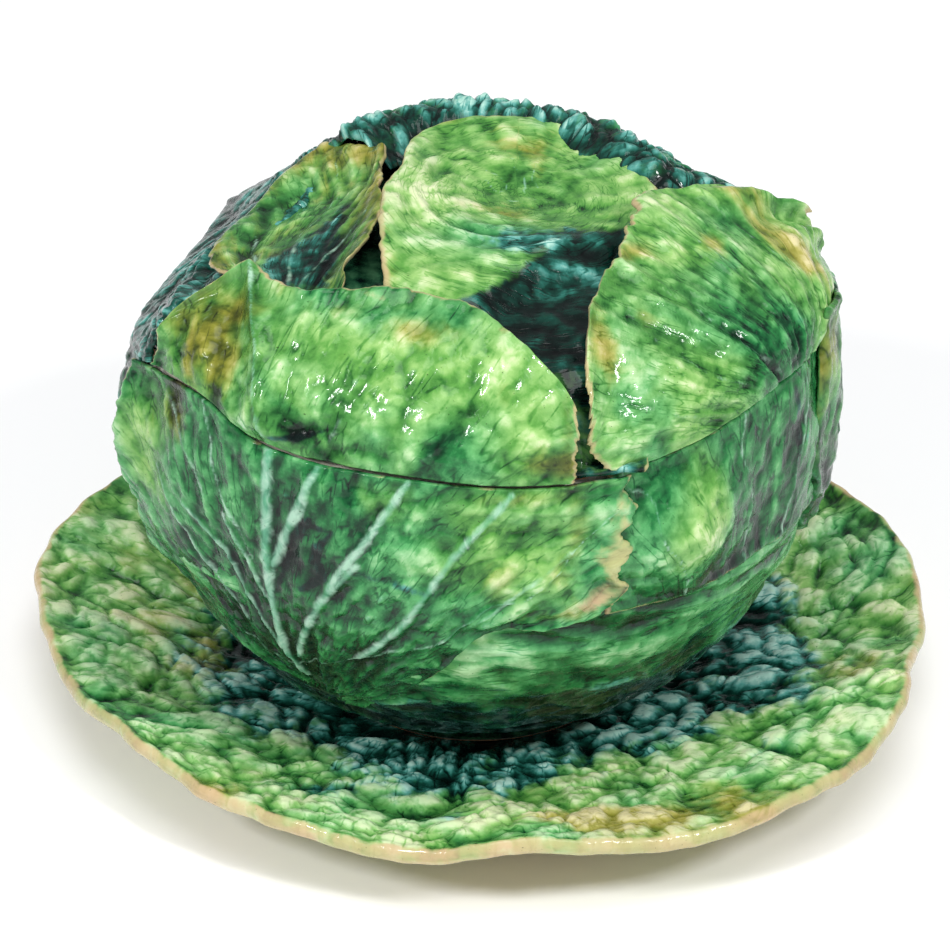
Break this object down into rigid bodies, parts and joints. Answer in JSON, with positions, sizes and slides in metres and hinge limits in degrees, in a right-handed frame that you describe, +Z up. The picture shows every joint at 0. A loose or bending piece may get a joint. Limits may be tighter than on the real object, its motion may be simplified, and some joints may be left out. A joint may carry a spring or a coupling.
{
  "type": "soup tureen",
  "caption": "Covered soup tureen shaped like a cabbage, with a round bowl, a leafy lid that lifts off and a wide leaf-shaped underplate.",
  "frame": {"origin": "centre of the underplate's foot, on the surface it stands on", "axes": "+Z up; -Y is the front, where the large front leaf is; +X is the front's right-hand side"},
  "size_m": [0.3707, 0.3564, 0.2335],
  "materials": {
    "plate_glaze": "gloss",
    "green_glaze": "gloss",
    "lime_glaze": "gloss",
    "deep_green_glaze": "gloss",
    "teal_glaze": "gloss",
    "cream_glaze": "gloss",
    "bare_clay": "matte"
  },
  "bodies": {
    "underplate": {"underplate": "plate_glaze"},
    "bowl": {"bowl_wall": "cream_glaze", "bowl_leaf_base": "deep_green_glaze", "bowl_leaf_front": "green_glaze", "bowl_leaf_right": "green_glaze", "bowl_leaf_far_left": "teal_glaze", "bowl_leaf_far_right": "lime_glaze", "bowl_leaf_back": "teal_glaze"},
    "lid": {"lid_dome": "cream_glaze", "lid_flange": "bare_clay", "lid_leaf_front": "green_glaze", "lid_leaf_right": "lime_glaze", "lid_leaf_crown": "lime_glaze", "lid_leaf_left": "lime_glaze", "lid_leaf_far_left": "teal_glaze", "lid_leaf_back": "teal_glaze"}
  },
  "joints": [
    {"name": "bowl_lift", "type": "slide", "parent": "underplate", "child": "bowl", "axis": [0, 0, 1], "range_m": [0, 0.12]},
    {"name": "lid_lift", "type": "slide", "parent": "bowl", "child": "lid", "axis": [0, 0, 1], "range_m": [0, 0.15]}
  ]
}
